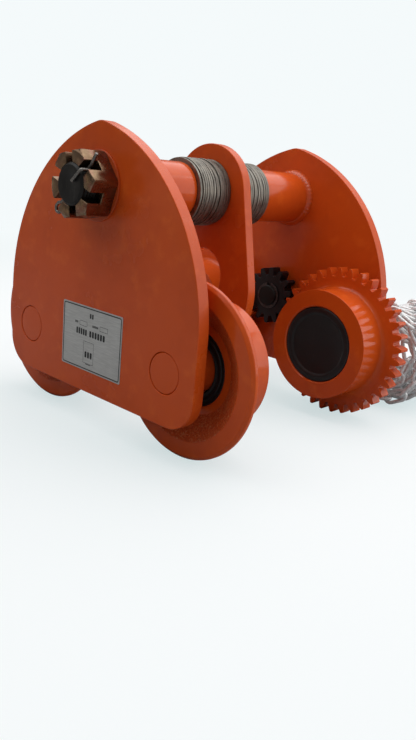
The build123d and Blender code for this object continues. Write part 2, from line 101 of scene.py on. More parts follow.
# ------------------------------------------------------------------ shader graph
class Socket:
    """An output of a shader node that can be used in arithmetic."""

    def __init__(self, graph: "Graph", link: bpy.types.NodeSocket) -> None:
        """Wrap a node output of a graph."""
        self.graph = graph
        self.link = link

    def _maths(self, operation: str, other: "Socket | float") -> "Socket":
        """Add a Math node.

        Args:
            operation: Name of the Math node's operation.
            other: The second value.

        Returns:
            The result's socket.
        """
        return self.graph.node("ShaderNodeMath", {"operation": operation}, {0: self, 1: other})

    def __add__(self, other: "Socket | float") -> "Socket":
        """Sum."""
        return self._maths("ADD", other)

    __radd__ = __add__

    def __mul__(self, other: "Socket | float") -> "Socket":
        """Product."""
        return self._maths("MULTIPLY", other)

    __rmul__ = __mul__

    def __gt__(self, other: "Socket | float") -> "Socket":
        """One where this is greater, otherwise nought."""
        return self._maths("GREATER_THAN", other)

    def between(self, low: float, high: float, start: float = 0.0, end: float = 1.0) -> "Socket":
        """Smooth step from start at low to end at high."""
        return self.graph.node("ShaderNodeMapRange", {"interpolation_type": "SMOOTHSTEP"},
                               {"Value": self, "From Min": low, "From Max": high,
                                "To Min": start, "To Max": end})


class Graph:
    """A node tree with one method that makes any node."""

    def __init__(self, tree: bpy.types.NodeTree) -> None:
        """Empty the tree and keep it."""
        tree.nodes.clear()
        self.tree = tree

    def node(self, kind: str, settings: dict | None = None, inputs: dict | None = None,
             output: int | str = 0) -> Socket:
        """Make one node.

        Args:
            kind: The node's type.
            settings: Its own settings, set before its sockets; "stops" fills a ramp.
            inputs: Values or sockets for its inputs, by name or place.
            output: Which of its outputs to give back.

        Returns:
            The chosen output.
        """
        made = self.tree.nodes.new(kind)
        for name, value in (settings or {}).items():
            if name == "stops":
                ramp = made.color_ramp
                while len(ramp.elements) < len(value):
                    ramp.elements.new(0.5)
                for element, (place, colour) in zip(ramp.elements, value):
                    element.position = place
                    element.color = (*colour, 1.0)
            else:
                setattr(made, name, value)
        for key, value in (inputs or {}).items():
            if isinstance(value, Socket):
                self.tree.links.new(value.link, made.inputs[key])
            else:
                made.inputs[key].default_value = value
        return Socket(self, made.outputs[output]) if len(made.outputs) else Socket(self, None)

    def place(self, stretch: Sequence[float] = (1, 1, 1), shift: Sequence[float] = (0, 0, 0)) -> Socket:
        """Object coordinates, shifted and then stretched."""
        coords = self.node("ShaderNodeTexCoord", output="Object")
        return self.node("ShaderNodeMapping", {"vector_type": "POINT"},
                         {"Vector": coords, "Scale": stretch, "Location": shift})

    def noise(self, vector: Socket, scale: float, detail: float = 3.0, rough: float = 0.5,
              warp: float = 0.0) -> Socket:
        """Fractal noise from nought to one."""
        return self.node("ShaderNodeTexNoise", None,
                         {"Vector": vector, "Scale": scale, "Detail": detail, "Roughness": rough,
                          "Distortion": warp}, "Fac")

    def cells(self, vector: Socket, scale: float, feature: str = "F1") -> Socket:
        """Distance to the points of a cell pattern."""
        return self.node("ShaderNodeTexVoronoi", {"feature": feature},
                         {"Vector": vector, "Scale": scale}, "Distance")

    def blend(self, factor: Socket | float, first: Socket | Colour, second: Socket | Colour,
              mode: str = "MIX") -> Socket:
        """Mix of two colours."""
        colours = [c if isinstance(c, Socket) else (*c, 1.0) for c in (first, second)]
        return self.node("ShaderNodeMix", {"data_type": "RGBA", "blend_type": mode},
                         {0: factor, 6: colours[0], 7: colours[1]}, 2)

    def bump(self, height: Socket, depth: float, strength: float = 1.0,
             under: Socket | None = None) -> Socket:
        """Bump of a height field.

        Args:
            height: The field, from nought to one.
            depth: How deep it is, in metres.
            strength: Share of it that shows.
            under: A bump that lies beneath it.

        Returns:
            The bent normal.
        """
        inputs = {"Height": height, "Distance": depth, "Strength": strength}
        if under is not None:
            inputs["Normal"] = under
        return self.node("ShaderNodeBump", None, inputs)

    def surface(self, **inputs: object) -> None:
        """Principled shader with these inputs, on the material's output."""
        named = {key.replace("_", " "): value for key, value in inputs.items()}
        for key, value in named.items():
            if isinstance(value, tuple) and len(value) == 3:
                named[key] = (*value, 1.0)
        shader = self.node("ShaderNodeBsdfPrincipled", None, named)
        self.node("ShaderNodeOutputMaterial", None, {"Surface": shader})


def new_material(name: str) -> tuple[bpy.types.Material, Graph]:
    """A named material and its empty graph."""
    material = bpy.data.materials.new(name)
    material.use_nodes = True
    return material, Graph(material.node_tree)


# ------------------------------------------------------------------ finishes
class Grain(Enum):
    """What lies under a coat of enamel."""

    ROLLED = "rolled plate"
    SAWN = "cut edge"
    CAST = "cast skin"
    TURNED = "machined face"


@dataclass(frozen=True)
class Enamel:
    """Glossy air-dried enamel, over one of several grounds."""

    name: str
    ground: Grain
    colour: Colour = (0.62, 0.082, 0.0095)
    worn: Colour = (0.42, 0.044, 0.006)
    fresh: Colour = (0.70, 0.115, 0.014)
    roughness: float = 0.20
    swell: float = 0.28
    coat: float = 0.05

    def build(self) -> bpy.types.Material:
        """The enamel as a material."""
        material, g = new_material(self.name)
        place = g.place()
        peel = g.noise(place, 520, 2.0)
        swell = g.noise(place, 62, 3.0, 0.55)
        cloud = g.noise(place, 16, 4.0, 0.6)
        normal = g.bump(swell, 0.00035, self.swell)
        normal = g.bump(peel, 0.00006, 0.30, normal)
        nibs = g.cells(place, 210).between(0.10, 0.22, 1.0, 0.0) * (g.noise(place, 31) > 0.60)
        normal = g.bump(nibs, 0.00008, 0.8, normal)
        rough = cloud.between(0.35, 0.7, self.roughness - 0.05, self.roughness + 0.09)
        colour = g.blend(cloud.between(0.40, 0.75, 0.0, 0.4), self.colour, self.worn)
        # Painted highlight: the crests of the swell bump are given a lighter colour.
        colour = g.blend(swell.between(0.52, 0.75, 0.0, 0.55), colour, self.fresh)
        if self.ground is Grain.SAWN:
            drag = g.noise(g.place((1, 0.10, 1)), 900, 3.0, 0.6)
            steps = g.noise(g.place((1, 0.22, 1), (0.3, 0.1, 0.2)), 150, 2.0)
            normal = g.bump(drag, 0.00010, 0.20, normal)
            normal = g.bump(steps, 0.0004, 0.12, normal)
            colour = g.blend(drag.between(0.55, 0.8, 0.0, 0.35), colour, self.worn)
        elif self.ground is Grain.CAST:
            sand = g.noise(place, 560, 3.0, 0.6)
            pits = g.cells(place, 260)
            normal = g.bump(sand, 0.0011, 0.9, normal)
            normal = g.bump(pits, 0.0005, 0.35, normal)
            # Painted shade: the hollows of the sand bump are darkened.
            colour = g.blend(sand.between(0.55, 0.35, 0.0, 0.6), colour, self.worn)
            # Painted highlight: the crests of the sand bump are given a light brown speckle.
            colour = g.blend(sand.between(0.54, 0.66, 0.0, 0.6), colour, (0.66, 0.28, 0.14))
            rough = rough + sand * 0.16
        elif self.ground is Grain.TURNED:
            cuts = g.noise(g.place((1, 0.04, 1)), 300, 2.0)
            normal = g.bump(cuts, 0.0001, 0.15, normal)
        g.surface(Base_Color=colour, Roughness=rough, Normal=normal, Coat_Weight=self.coat,
                  Coat_Roughness=0.07, IOR=1.5, Specular_IOR_Level=0.25)
        return material


@dataclass(frozen=True)
class Plating:
    """Zinc or bare steel, with the marks of how it was made."""

    name: str
    light: Colour
    dark: Colour
    tint: Colour
    roughness: float = 0.34
    stretch: tuple[float, float, float] = (1, 1, 1)
    scratch: float = 0.4
    mark_scale: float = 700
    metallic: float = 1.0

    def build(self) -> bpy.types.Material:
        """The plating as a material."""
        material, g = new_material(self.name)
        place = g.place()
        marks = g.noise(g.place(self.stretch), self.mark_scale, 4.0, 0.65)
        cloud = g.noise(place, 55, 4.0, 0.6)
        stain = g.noise(g.place((1, 1, 1), (0.4, 0.2, 0.7)), 120, 3.0, 0.55)
        colour = g.blend(marks.between(0.38, 0.68), self.dark, self.light)
        colour = g.blend(stain.between(0.45, 0.72, 0.0, 0.8), colour, self.tint)
        rough = cloud.between(0.3, 0.7, self.roughness - 0.08, self.roughness + 0.12)
        normal = g.bump(marks, 0.00012, self.scratch)
        normal = g.bump(cloud, 0.0002, 0.2, normal)
        g.surface(Base_Color=colour, Roughness=rough, Metallic=self.metallic, Normal=normal)
        return material


@dataclass(frozen=True)
class Dark:
    """Black plastic, rubber or blackened steel."""

    name: str
    colour: Colour
    scuffed: Colour
    roughness: float
    grain: float = 600
    depth: float = 0.00005
    metallic: float = 0.0
    coat: float = 0.0

    def build(self) -> bpy.types.Material:
        """The dark finish as a material."""
        material, g = new_material(self.name)
        place = g.place()
        fine = g.noise(place, self.grain, 3.0, 0.6)
        broad = g.noise(place, 48, 4.0, 0.6)
        scuffs = g.noise(g.place((1, 0.3, 0.2), (0.1, 0.5, 0.3)), 420, 4.0, 0.7)
        normal = g.bump(fine, self.depth, 0.6)
        normal = g.bump(broad, 0.0003, 0.18, normal)
        colour = g.blend(scuffs.between(0.56, 0.74) * broad.between(0.4, 0.6), self.colour, self.scuffed)
        rough = broad.between(0.3, 0.7, self.roughness - 0.07, self.roughness + 0.10)
        g.surface(Base_Color=colour, Roughness=rough, Metallic=self.metallic, Normal=normal,
                  Coat_Weight=self.coat, Coat_Roughness=0.15, Specular_IOR_Level=0.35)
        return material


@dataclass(frozen=True)
class Foil:
    """Brushed aluminium foil of the name plate, or the ink printed on it."""

    name: str
    light: Colour
    dark: Colour
    metallic: float
    roughness: float

    def build(self) -> bpy.types.Material:
        """The foil as a material."""
        material, g = new_material(self.name)
        brushed = g.noise(g.place((0.06, 1, 1)), 1500, 3.0, 0.6)
        cloud = g.noise(g.place(), 40, 3.0)
        colour = g.blend(brushed.between(0.3, 0.7), self.dark, self.light)
        colour = g.blend(cloud.between(0.5, 0.8, 0.0, 0.35), colour, self.dark)
        rough = cloud.between(0.3, 0.7, self.roughness - 0.05, self.roughness + 0.07)
        normal = g.bump(brushed, 0.00003, 0.3)
        g.surface(Base_Color=colour, Roughness=rough, Metallic=self.metallic, Normal=normal)
        return material


class Paint(Enum):
    """Every finish on the trolley."""

    PLATE = Enamel("enamel_plate", Grain.ROLLED)
    EDGE = Enamel("enamel_cut_edge", Grain.SAWN, roughness=0.30)
    CAST = Enamel("enamel_cast", Grain.CAST, roughness=0.40)
    TURNED = Enamel("enamel_turned", Grain.TURNED, roughness=0.16, swell=0.10)
    WELD = Enamel("enamel_weld", Grain.ROLLED, roughness=0.12, swell=0.4, coat=0.5)
    WASHER = Enamel("enamel_washer", Grain.ROLLED, (0.50, 0.070, 0.014), (0.34, 0.045, 0.011),
                    (0.60, 0.10, 0.018), 0.32)
    NUT = Plating("yellow_zinc_nut", (0.27, 0.185, 0.11), (0.18, 0.115, 0.07), (0.25, 0.125, 0.095),
                  0.27, (1, 0.4, 1), 0.08, 240)
    PIN = Plating("drawn_wire", (0.34, 0.325, 0.30), (0.13, 0.12, 0.11), (0.24, 0.215, 0.19), 0.42)
    SHIM = Plating("zinc_shims", (0.32, 0.30, 0.26), (0.12, 0.11, 0.095), (0.23, 0.205, 0.17),
                   0.46, (0.05, 1, 0.05), 0.35, 1400)
    CHAIN = Plating("bright_zinc_chain", (0.92, 0.93, 0.92), (0.66, 0.67, 0.67), (0.80, 0.82, 0.83),
                    0.26, (1, 1, 1), 0.3, 420, 0.2)
    RACE = Plating("bearing_steel", (0.62, 0.62, 0.63), (0.42, 0.42, 0.43), (0.52, 0.52, 0.54),
                   0.22, (0.3, 1, 0.3), 0.2)
    SPRING = Plating("phosphated_spring", (0.16, 0.155, 0.15), (0.07, 0.07, 0.07), (0.10, 0.09, 0.085),
                     0.45)
    BRONZE = Plating("sintered_bronze", (0.60, 0.37, 0.16), (0.38, 0.21, 0.09), (0.46, 0.30, 0.15), 0.42)
    CAP = Dark("pressed_black_cap", (0.009, 0.0085, 0.009), (0.018, 0.017, 0.017), 0.42, 380,
               0.00004, 0.0, 0.10)
    SEAL = Dark("rubber_seal", (0.011, 0.011, 0.011), (0.03, 0.03, 0.03), 0.50, 700, 0.00006)
    PINION = Dark("black_pinion", (0.010, 0.010, 0.011), (0.045, 0.042, 0.042), 0.42, 300,
                  0.00014, 0.35, 0.2)
    SHAFT = Dark("blackened_shaft", (0.018, 0.017, 0.016), (0.07, 0.066, 0.06), 0.44, 500,
                 0.00008, 0.55)
    FOIL = Foil("name_plate_foil", (0.54, 0.54, 0.52), (0.43, 0.43, 0.415), 0.35, 0.36)
    INK = Foil("name_plate_ink", (0.012, 0.012, 0.013), (0.02, 0.02, 0.02), 0.0, 0.5)

    def material(self) -> bpy.types.Material:
        """The finish's material, made once."""
        return bpy.data.materials.get(self.value.name) or self.value.build()


# ------------------------------------------------------------------ shapes
class Shape:
    """A mesh in the making, in millimetres."""

    def __init__(self) -> None:
        """Start with nothing."""
        self.bm = bmesh.new()

    @classmethod
    def from_node(cls, *nodes: str) -> "Shape":
        """Merged copy of the meshes of frame nodes.

        Args:
            nodes: Names of the nodes.

        Returns:
            The shape, its doubled vertices merged.
        """
        shape = cls()
        for node in nodes:
            shape.bm.from_mesh(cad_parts[node].data)
        bmesh.ops.scale(shape.bm, vec=(1 / MM,) * 3, verts=shape.bm.verts)
        bmesh.ops.remove_doubles(shape.bm, verts=shape.bm.verts, dist=0.002)
        return shape

    def flatten(self, angle: float = 0.6) -> "Shape":
        """Dissolve the edges inside flat regions."""
        bmesh.ops.dissolve_limit(self.bm, angle_limit=math.radians(angle), verts=self.bm.verts,
                                 edges=self.bm.edges, delimit=set())
        return self

    def path(self, start: Point, moves: Iterable[tuple], y: float) -> list[bmesh.types.BMEdge]:
        """Trace lines and arcs in the X-Z plane.

        Args:
            start: First point, as x and z.
            moves: ("line", x, z), or ("arc", centre x, centre z, degrees from +X to +Z, steps).
            y: Where the path lies.

        Returns:
            The edges.
        """
        last = self.bm.verts.new((start[0], y, start[1]))
        edges = []
        for kind, x, z, *turn in moves:
            if kind == "line":
                following = self.bm.verts.new((x, y, z))
                edges.append(self.bm.edges.new((last, following)))
                last = following
                continue
            made = bmesh.ops.spin(self.bm, geom=[last], cent=(x, y, z), axis=(0, 1, 0), dvec=(0, 0, 0),
                                  angle=-math.radians(turn[0]), steps=turn[1], use_duplicate=False)
            last = [v for v in made["geom_last"] if isinstance(v, bmesh.types.BMVert)][0]
        return edges

    def turn(self, profile: Sequence[Point], centre: Vector, side: int = 1, steps: int = 96,
             closed: bool = True, phase: float = 0.0) -> "Shape":
        """Spin a profile about a line along Y.

        Args:
            profile: Points of radius and distance from the middle plane.
            centre: Where the line is.
            side: Which way the distances run.
            steps: Number of steps round.
            closed: True where the last point joins the first.
            phase: Angle of the first step, in degrees from +X to +Z.

        Returns:
            This shape.
        """
        points = [self.bm.verts.new((centre.x + r, MID_Y + side * d, centre.z)) for r, d in profile]
        following = points[1:] + points[:1] if closed else points[1:]
        edges = [self.bm.edges.new(pair) for pair in zip(points, following)]
        middle = (centre.x, 0, centre.z)
        bmesh.ops.rotate(self.bm, verts=points, cent=middle,
                         matrix=Matrix.Rotation(-math.radians(phase), 3, "Y"))
        bmesh.ops.spin(self.bm, geom=points + edges, cent=middle, axis=(0, 1, 0), dvec=(0, 0, 0),
                       angle=math.tau, steps=steps, use_merge=True, use_duplicate=False)
        return self.weld()

    def weld(self) -> "Shape":
        """Merge doubles and turn every face outwards."""
        bmesh.ops.remove_doubles(self.bm, verts=self.bm.verts, dist=0.004)
        bmesh.ops.recalc_face_normals(self.bm, faces=self.bm.faces)
        return self

    def finish(self, name: str, body: str, slot: str, paints: Sequence[Paint],
               choose: Callable[[bmesh.types.BMFace], int] | None = None, edge: float = 0.0,
               segments: int = 2, angle: float = 28.0, replaces: Sequence[str] = ()) -> bpy.types.Object:
        """Make the shape a piece of the scene.

        Args:
            name: Name of the piece.
            body: Frame body that it rides on.
            slot: Not used.
            paints: Its finishes.
            choose: Gives the finish of a face by its place in paints.
            edge: Width of the rounding along sharp edges.
            segments: Number of faces across the rounding.
            angle: Edges sharper than this are rounded, in degrees.
            replaces: Frame nodes that it stands for.

        Returns:
            The piece.
        """
        for face in self.bm.faces:
            face.smooth = True
            face.material_index = choose(face) if choose else 0
        if edge == 0.0:
            for line in self.bm.edges:
                line.smooth = line.calc_face_angle(0.0) < math.radians(angle)
        bmesh.ops.scale(self.bm, vec=(MM,) * 3, verts=self.bm.verts)
        mesh = bpy.data.meshes.new(name)
        self.bm.to_mesh(mesh)
        self.bm.free()
        for paint in paints:
            mesh.materials.append(paint.material())
        piece = bpy.data.objects.new(name, mesh)
        bpy.context.scene.collection.objects.link(piece)
        if edge:
            rounding = piece.modifiers.new("rounding", "BEVEL")
            rounding.width = edge * MM
            rounding.segments = segments
            rounding.limit_method = "ANGLE"
            rounding.angle_limit = math.radians(angle)
            rounding.harden_normals = True
            rounding.use_clamp_overlap = False
            rounding.miter_outer = "MITER_ARC"
        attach(piece, body)
        if replaces:
            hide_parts(*replaces)
        log.info("%s: %d faces", name, len(mesh.polygons))
        return piece


def edge_or_face(face: bmesh.types.BMFace) -> int:
    """Nought on a face square to Y, one on an edge."""
    return 0 if abs(face.normal.y) > 0.9 else 1


def dress(paint: Paint, slot: str, *nodes: str) -> None:
    """Give frame nodes that stay as they are a finish."""
    for node in nodes:
        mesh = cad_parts[node].data
        mesh.materials.clear()
        mesh.materials.append(paint.material())
        log.info("%s: %s", node, slot)


# ------------------------------------------------------------------ side plates
@dataclass
class SidePlate:
    """One of the two steel side plates, with its bored holes."""

    side: Side
    half_width: float = 136.4
    side_radius: float = 171.6
    side_height: float = 110.8
    corner: float = 30.0
    tip: float = 22.0
    shaft_hole: float = 18.2
    axle_hole: float = 18.15
    drive_hole: float = 20.0
    edge: float = 0.8

    def outline(self, shape: Shape, y: float, bottom: float) -> None:
        """Trace the plate's outline at y, from its bottom."""
        centre = self.half_width - self.side_radius
        tip_z = self.side_height + math.sqrt((self.side_radius - self.tip) ** 2 - centre ** 2)
        lean = math.degrees(math.atan2(tip_z - self.side_height, -centre))
        shape.path((0, bottom), [
            ("line", self.half_width - self.corner, bottom),
            ("arc", self.half_width - self.corner, bottom + self.corner, 90, 14),
            ("line", self.half_width, self.side_height),
            ("arc", centre, self.side_height, lean, 48),
            ("arc", 0.0, tip_z, 90 - lean, 8)], y)
        bmesh.ops.mirror(shape.bm, geom=shape.bm.verts[:] + shape.bm.edges[:], axis="X", merge_dist=0.01)
        bmesh.ops.remove_doubles(shape.bm, verts=shape.bm.verts, dist=0.01)

    def build(self) -> None:
        """Build the plate and put it on the frame."""
        node = f"side_plate_{self.side.word}"
        low, high = (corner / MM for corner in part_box(node))
        shape = Shape()
        self.outline(shape, low.y, low.z)
        holes = [(middle_of("load_shaft"), self.shaft_hole)]
        holes += [(middle_of(f"wheel_{self.side.word}_{hand.word}"), self.axle_hole) for hand in Hand]
        if self.side is Side.GEARED:
            holes.append((middle_of("pinion"), self.drive_hole))
        for centre, radius in holes:
            shape.path((centre.x + radius, centre.z), [("arc", centre.x, centre.z, 360, 72)], low.y)
        bmesh.ops.remove_doubles(shape.bm, verts=shape.bm.verts, dist=0.01)
        bmesh.ops.triangle_fill(shape.bm, use_beauty=True, edges=shape.bm.edges[:], normal=(0, -1, 0))
        shape.flatten()
        made = bmesh.ops.extrude_face_region(shape.bm, geom=shape.bm.faces[:], use_keep_orig=True)
        moved = [v for v in made["geom"] if isinstance(v, bmesh.types.BMVert)]
        bmesh.ops.translate(shape.bm, verts=moved, vec=(0, high.y - low.y, 0))
        bmesh.ops.recalc_face_normals(shape.bm, faces=shape.bm.faces)
        shape.finish(f"plate_{self.side.word}", "frame", "orange_paint", [Paint.PLATE, Paint.EDGE],
                     edge_or_face, self.edge, 3, 40, [node])


@dataclass
class NamePlate:
    """Foil name plate with a printed frame and generic print, read from the plate's tip."""

    inset: float = 1.2
    line: float = 1.1
    ink_height: float = 0.03
    corner: float = 1.5
    frame_corner: float = 2.4
    box_line: float = 0.35
    box_corner: float = 0.4
    stroke_aspect: float = 0.62
    stroke_share: float = 0.74
    stroke_corner: float = 0.16
    bars: tuple = ((-14.5, 5.6, 17.0, 6.0), (9.0, 5.6, 24.0, 6.0), (-22.5, 13.6, 5.0, 2.2),
                   (6.0, 13.6, 9.0, 2.2), (0.0, 22.4, 6.5, 4.6), (-3.0, -15.0, 12.0, 6.0),
                   (-3.0, -24.2, 8.0, 0.9))
    boxes: tuple = ((-12.0, 13.6, 11.5, 4.6), (18.5, 13.6, 11.5, 4.6), (-3.0, -13.0, 15.5, 21.0))

    def build(self) -> None:
        """Build the plate and its print."""
        low, high = (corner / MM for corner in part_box("name_plate"))
        centre = (low + high) / 2
        width, height = high.x - low.x, high.z - low.z
        ink = Shape()
        top = low.y + self.ink_height
        shape = Shape()
        self._slab(shape, centre.x, centre.z, width, height, top, high.y, self.corner)
        shape.finish("name_plate_foil", "frame", "name_plate", [Paint.FOIL], None, 0.08, 2, 40,
                     ["name_plate"])
        self._frame(ink, centre.x, centre.z, width - 2 * self.inset, height - 2 * self.inset, low.y, top,
                    self.line, self.frame_corner)
        for x, z, w, h in self.boxes:
            self._frame(ink, centre.x + x, centre.z + z, w, h, low.y, top, self.box_line,
                        self.box_corner)
        for x, z, w, h in self.bars:
            strokes = max(2, round(w / (self.stroke_aspect * h)))
            pitch = w / strokes
            for i in range(strokes):
                self._slab(ink, centre.x + x + (i - (strokes - 1) / 2) * pitch, centre.z + z,
                           self.stroke_share * pitch, h, low.y, top, self.stroke_corner * h)
        ink.finish("name_plate_print", "frame", "name_plate", [Paint.INK])

    @staticmethod
    def _corners(shape: Shape, x: float, z: float, width: float, height: float, y: float,
                 radius: float) -> bmesh.types.BMFace:
        """Flat rectangle with rounded corners."""
        grid = bmesh.ops.create_grid(shape.bm, x_segments=1, y_segments=1, size=0.5)
        verts = grid["verts"]
        bmesh.ops.scale(shape.bm, vec=(width, height, 1), verts=verts)
        bmesh.ops.rotate(shape.bm, verts=verts, cent=(0, 0, 0), matrix=Matrix.Rotation(math.pi / 2, 3, "X"))
        bmesh.ops.translate(shape.bm, verts=verts, vec=(x, y, z))
        made = bmesh.ops.bevel(shape.bm, geom=verts, offset=radius, offset_type="OFFSET", segments=4,
                               profile=0.5, affect="VERTICES", material=-1)
        return max(made["verts"][0].link_faces, key=lambda f: len(f.verts))

    def _slab(self, shape: Shape, x: float, z: float, width: float, height: float, near: float,
              far: float, radius: float) -> None:
        """Thin slab with rounded corners."""
        face = self._corners(shape, x, z, width, height, far, radius)
        made = bmesh.ops.extrude_face_region(shape.bm, geom=[face], use_keep_orig=True)
        verts = [v for v in made["geom"] if isinstance(v, bmesh.types.BMVert)]
        bmesh.ops.translate(shape.bm, verts=verts, vec=(0, near - far, 0))
        bmesh.ops.recalc_face_normals(shape.bm, faces=shape.bm.faces)

    def _frame(self, shape: Shape, x: float, z: float, width: float, height: float, near: float,
               far: float, line: float, radius: float) -> None:
        """Thin raised line round a rectangle."""
        face = self._corners(shape, x, z, width, height, far, radius)
        band = bmesh.ops.inset_region(shape.bm, faces=[face], thickness=line, use_even_offset=True,
                                      use_boundary=True)
        bmesh.ops.delete(shape.bm, geom=[face], context="FACES")
        made = bmesh.ops.extrude_face_region(shape.bm, geom=band["faces"], use_keep_orig=True)
        verts = [v for v in made["geom"] if isinstance(v, bmesh.types.BMVert)]
        bmesh.ops.translate(shape.bm, verts=verts, vec=(0, near - far, 0))
        bmesh.ops.recalc_face_normals(shape.bm, faces=shape.bm.faces)


# ------------------------------------------------------------------ load shaft
@dataclass
class LoadShaft:
    """Threaded load shaft with its castle nuts, washers and split pins."""

    radius: float = 18.0
    reach: float = 173.5
    chamfer: float = 2.0
    thread_pitch: float = 3.0
    thread_depth: float = 1.3
    thread_length: float = 30.0
    washer_radius: float = 30.6
    washer_bore: float = 18.3
    washer_start: float = 143.1
    washer_end: float = 145.1

    def half_profile(self) -> list[Point]:
        """Outside of the shaft from its middle to one end."""
        points = [(self.radius, 0.0)]
        d = self.reach - self.thread_length
        while d < self.reach - self.chamfer - self.thread_pitch:
            points += [(self.radius, d), (self.radius - self.thread_depth, d + self.thread_pitch * 0.45),
                       (self.radius, d + self.thread_pitch * 0.9)]
            d += self.thread_pitch
        points += [(self.radius, self.reach - self.chamfer), (self.radius - self.chamfer, self.reach),
                   (9.0, self.reach), (7.6, self.reach - 0.5), (0.0, self.reach - 0.6)]
        return points

    def build(self) -> None:
        """Build the shaft and everything on its ends."""
        centre = middle_of("load_shaft")
        half = self.half_profile()
        profile = [(r, -d) for r, d in reversed(half[1:])] + [(r, d) for r, d in half[1:]]
        Shape().turn(profile, centre, steps=96, closed=False).finish(
            "load_shaft_threaded", "frame", "dark_shaft", [Paint.SHAFT], None, 0.3, 2, 25, ["load_shaft"])
        washers = Shape()
        for side in Side:
            washers.turn([(self.washer_bore, self.washer_start), (self.washer_radius, self.washer_start),
                          (self.washer_radius, self.washer_end), (self.washer_bore, self.washer_end)],
                         centre, side.value, 96)
        washers.finish("nut_washer_pair", "frame", "orange_paint", [Paint.WASHER], None, 0.5, 3, 28,
                       ["nut_washers"])
        for side in Side:
            nut = Shape.from_node(f"castle_nut_{side.word}").flatten()
            nut.finish(f"castle_nut_{side.word}_zinc", "frame", "yellow_zinc", [Paint.NUT], None,
                       0.55, 3, 24, [f"castle_nut_{side.word}"])
            pin = Shape.from_node(f"split_pin_{side.word}")
            pin.finish(f"split_pin_{side.word}_wire", "frame", "pin_steel", [Paint.PIN], angle=60,
                       replaces=[f"split_pin_{side.word}"])


@dataclass
class SpacerTubes:
    """The two tubes welded to the side plates, each with an uneven bead."""

    tube_radius: float = 27.4
    bore: float = 18.4
    bead_length: float = 5.8
    bead_rise: float = 4.2
    ripples: int = 46

    def build(self) -> None:
        """Build both tubes and their beads."""
        centre = middle_of("load_shaft")
        beads = Shape()
        for side in Side:
            node = f"spacer_tube_{side.word}"
            low, high = (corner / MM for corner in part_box(node))
            ends = sorted(abs(y - MID_Y) for y in (low.y, high.y))
            Shape().turn([(self.bore, ends[0]), (self.tube_radius, ends[0]), (self.tube_radius, ends[1]),
                          (self.bore, ends[1])], centre, side.value, 112).finish(
                f"tube_{side.word}", "frame", "orange_paint", [Paint.TURNED], None, 0.6, 3, 28, [node])
            self._bead(beads, centre, side, ends[1])
        beads.finish("tube_welds", "frame", "orange_paint", [Paint.WELD], angle=75,
                     replaces=["tube_weld_beads"])

    def _bead(self, shape: Shape, centre: Vector, side: Side, plate: float) -> None:
        """Add one bead, its run made uneven."""
        r, n, rise = self.tube_radius, self.bead_length, self.bead_rise
        before = set(shape.bm.verts)
        shape.turn([(r - 0.4, plate - n), (r + 0.9, plate - 0.93 * n), (r + 0.42 * rise, plate - 0.78 * n),
                    (r + 0.66 * rise, plate - 0.55 * n), (r + 0.82 * rise, plate - 0.32 * n),
                    (r + 0.94 * rise, plate - 0.1 * n), (r + 0.96 * rise, plate),
                    (r - 0.4, plate)], centre, side.value, 276)
        chance = random.Random(11 + side.value)
        phases = [chance.uniform(0, math.tau) for _ in range(3)]
        for vert in set(shape.bm.verts) - before:
            out = Vector((vert.co.x - centre.x, 0, vert.co.z - centre.z))
            if out.length < r + 0.2:
                continue
            turn = math.atan2(out.z, out.x)
            wave = 0.5 + 0.5 * math.cos(self.ripples * turn + 1.4 * math.sin(3 * turn + phases[0]))
            sway = math.sin(5 * turn + phases[1]) + 0.6 * math.sin(9 * turn + phases[2])
            vert.co -= out.normalized() * (0.30 * wave + 0.17 * (1 + sway / 1.6))


@dataclass
class ShimStack:
    """Loose adjusting shims between a tube and the hanger."""

    side: Side
    count: int
    pitch: float = 3.0
    foot: float = 5.8
    radius: float = 32.3
    bore: float = 18.6

    def build(self) -> None:
        """Build the stack, each shim a little off centre and of its own thickness."""
        centre = middle_of("load_shaft")
        chance = random.Random(40 + self.side.value)
        stack = Shape()
        for i in range(self.count):
            start = self.foot + i * self.pitch
            place = centre + Vector((0.28 * math.sin(2.4 * i + self.side.value), 0, 0.28 * math.cos(1.7 * i)))
            radius = self.radius - chance.choice((0.0, 0.1, 0.25, 0.5))
            thick = self.pitch - chance.choice((0.12, 0.16, 0.22, 0.5))
            one = Shape()
            one.turn([(self.bore, start), (radius - 0.35, start), (radius, start + 0.4),
                      (radius, start + thick - 0.3), (radius - 0.3, start + thick),
                      (self.bore, start + thick)], place, self.side.value, 96)
            tilt = Matrix.Rotation(math.radians(chance.uniform(-0.05, 0.05)), 3, "X")
            pivot = (place.x, MID_Y + self.side.value * start, place.z)
            bmesh.ops.rotate(one.bm, verts=one.bm.verts, cent=pivot, matrix=tilt)
            loose = bpy.data.meshes.new("shim")
            one.bm.to_mesh(loose)
            one.bm.free()
            stack.bm.from_mesh(loose)
            bpy.data.meshes.remove(loose)
        node = f"shim_washers_{self.side.word}"
        stack.finish(f"shims_{self.side.word}", "frame", "grey_zinc", [Paint.SHIM], None, 0.12, 2, 25, [node])


